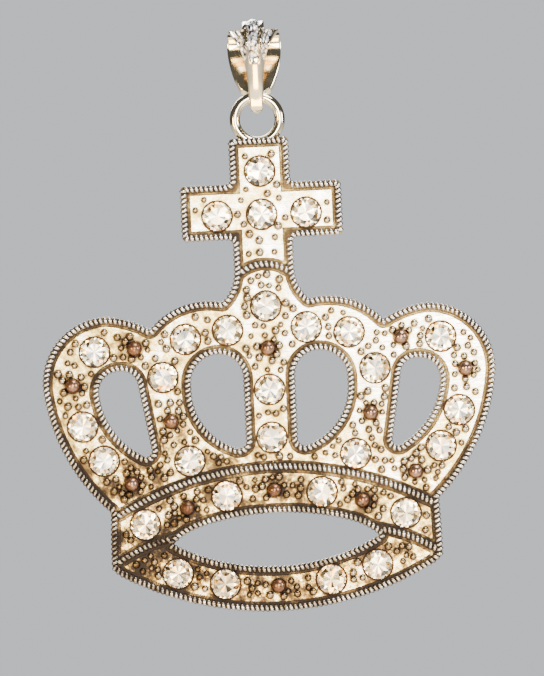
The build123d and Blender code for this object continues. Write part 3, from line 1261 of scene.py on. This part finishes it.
def bail_section(outer, inner):
    """One closed section: outer columns left to right, then inner ones right to left."""
    y, z = outer
    rise = z - WIRE_Z
    inner_rise = inner[1] - WIRE_Z
    half = half_width(y, rise)
    bottom = inner_rise < 0.2
    inner_half = half_width(y, inner_rise) if bottom else half
    away = Vector((0, y - inner[0], z - inner[1])).normalized()
    front = ease(-y, -1.6, 0.0) * ease(rise, -1.5, 1)
    section = []
    for column in range(BAIL_COLUMNS):
        share = 2 * column / (BAIL_COLUMNS - 1) - 1
        x = share * half
        lift = front * front_relief(x, rise, share) - 0.3 * ease(-rise, -1.9, 1.5)
        lift -= 0.14 * ease(abs(share) * half, half - 0.16, half)
        section.append(Vector((x, y, z)) + away * lift)
    for column in range(BAIL_COLUMNS):
        share = 1 - 2 * column / (BAIL_COLUMNS - 1)
        x = share * inner_half
        lift = 0.1 * ease(abs(share) * inner_half, inner_half - 0.14, inner_half)
        section.append(Vector((x, inner[0], inner[1])) + away * lift)
    return section


# %% The bail's mesh
sections = [bail_section(o, i) for o, i in zip(outer_rows, inner_rows)]
bail_points = [point for section in sections for point in section]
bail_faces = tube_faces(len(sections), 2 * BAIL_COLUMNS)
bail = mesh_piece("decorated_bail", bail_points, bail_faces, [bright_plating, engraved_plating])


def is_engraved(middle):
    """True on the fan's panel and wings, and False on its ribs, its rims and the rest."""
    rise = middle.z - WIRE_Z
    if middle.y > 0.6 or rise < 4.8 or math.hypot(middle.y, middle.z) < EYE_INNER + 0.12:
        return False
    share = abs(middle.x) / half_width(middle.y, rise)
    return share < 0.9 and abs(abs(middle.x) - rib_place(rise)) > 0.21


for face in bail.data.polygons:
    face.material_index = int(is_engraved(face.center / MM))
bail.data.set_sharp_from_angle(angle=math.radians(38))
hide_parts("bail")
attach(bail, "bail")
print("bail faces:", len(bail.data.polygons))

# %% [markdown]
# ## Floor, light and camera
# Bright metal shows the room more than itself. A pale world gives it a soft base tone, large
# lamps give the broad highlights, and a warm one from the left gives the golden side.

# %% Floor and world
FLOOR_HALF = 3000
FLOOR_DROP = 350  # the floor lies this far under the pendant
ROOM_PLAIN = 0.95  # strength of the room, seen straight and on matt surfaces
ROOM_IN_METAL = 0.13  # and in reflections, where lamps alone should draw the metal


def pale_floor():
    """A wide plain floor, well under the hanging pendant."""
    # matt paint, which sends soft light up and shows nothing of its own
    material, tree = new_material("pale_studio_floor")
    shader = add_node(
        tree, "ShaderNodeBsdfPrincipled", {"Base Color": srgb("#F7F5F1"), "Roughness": 0.95}
    )
    add_node(tree, "ShaderNodeOutputMaterial", links={"Surface": shader})
    level = FOOT_Z - FLOOR_DROP
    around = [(-1, -1), (1, -1), (1, 1), (-1, 1)]
    corners = [(x * FLOOR_HALF, y * FLOOR_HALF, level) for x, y in around]
    return mesh_piece("studio_floor", corners, [(0, 1, 2, 3)], [material])


pale_floor()
world = bpy.data.worlds.new("pale_studio")
bpy.context.scene.world = world
world.use_nodes = True
world_tree = world.node_tree
world_tree.nodes.clear()
path = add_node(world_tree, "ShaderNodeLightPath")
plain_share = add_node(
    world_tree,
    "ShaderNodeMath",
    {"operation": "MAXIMUM"},
    {0: path.outputs["Is Camera Ray"], 1: path.outputs["Is Diffuse Ray"]},
)
strength = add_node(
    world_tree,
    "ShaderNodeMapRange",
    {"To Min": ROOM_IN_METAL, "To Max": ROOM_PLAIN},
    {"Value": plain_share},
)
sky = add_node(
    world_tree, "ShaderNodeBackground", {"Color": srgb("#DCDFE4")}, {"Strength": strength}
)
add_node(world_tree, "ShaderNodeOutputWorld", links={"Surface": sky})
print("world ready")


# %% Lamps
def soft_lamp(name, place, target, size, power, colour):
    """A square area lamp that faces a target."""
    light = bpy.data.lights.new(name, "AREA")
    light.shape = "SQUARE"
    light.size = size
    light.energy = power
    light.color = srgb(colour)[:3]
    lamp = linked(name, light)
    lamp.location = place
    aim = (Vector(target) - Vector(place)).to_track_quat("-Z", "Y")
    lamp.rotation_euler = aim.to_euler()


aim_at = (0, 0, FOOT_Z / 2 * MM)
soft_lamp("front_lamp", (0.1, -0.95, 0.08), aim_at, 0.34, 9.0, "#FFFFFF")
soft_lamp("warm_lamp", (-0.5, -0.6, -0.04), aim_at, 0.22, 5.0, "#FFD98C")
soft_lamp("low_lamp", (0.01, -0.5, -0.26), (0, 0, 0), 0.17, 2.2, "#FFC46A")
soft_lamp("side_lamp", (0.6, -0.35, 0.05), aim_at, 0.22, 4.0, "#F4F8FF")
soft_lamp("top_lamp", (0.2, -0.2, 0.55), aim_at, 0.3, 5.0, "#FFFFFF")
soft_lamp("back_lamp", (-0.1, 0.6, 0.3), aim_at, 0.4, 6.0, "#FFFFFF")
print("lamps placed")

# %% Camera
ROLL = math.radians(2.65)
VIEW_HEIGHT = 86.7  # of the frame at the pendant, in millimetres
DISTANCE = 700
VIEW_RISE = 35.07  # of the picture's middle above the border's foot
VIEW_CENTRE = Vector((0.6, -DISTANCE, FOOT_Z - EDGE_INSET + VIEW_RISE))
camera_data = bpy.data.cameras.new("camera")
camera_data.sensor_width = 36
camera_data.lens = 36 * DISTANCE / VIEW_HEIGHT
camera_data.clip_start = 0.01
camera = linked("camera", camera_data)
right = Vector((math.cos(ROLL), 0, -math.sin(ROLL)))
up = Vector((math.sin(ROLL), 0, math.cos(ROLL)))
turned = Matrix((right, up, right.cross(up))).transposed().to_4x4()
camera.matrix_world = Matrix.Translation(VIEW_CENTRE * MM) @ turned
bpy.context.scene.camera = camera
print("lens", round(camera_data.lens), "mm")
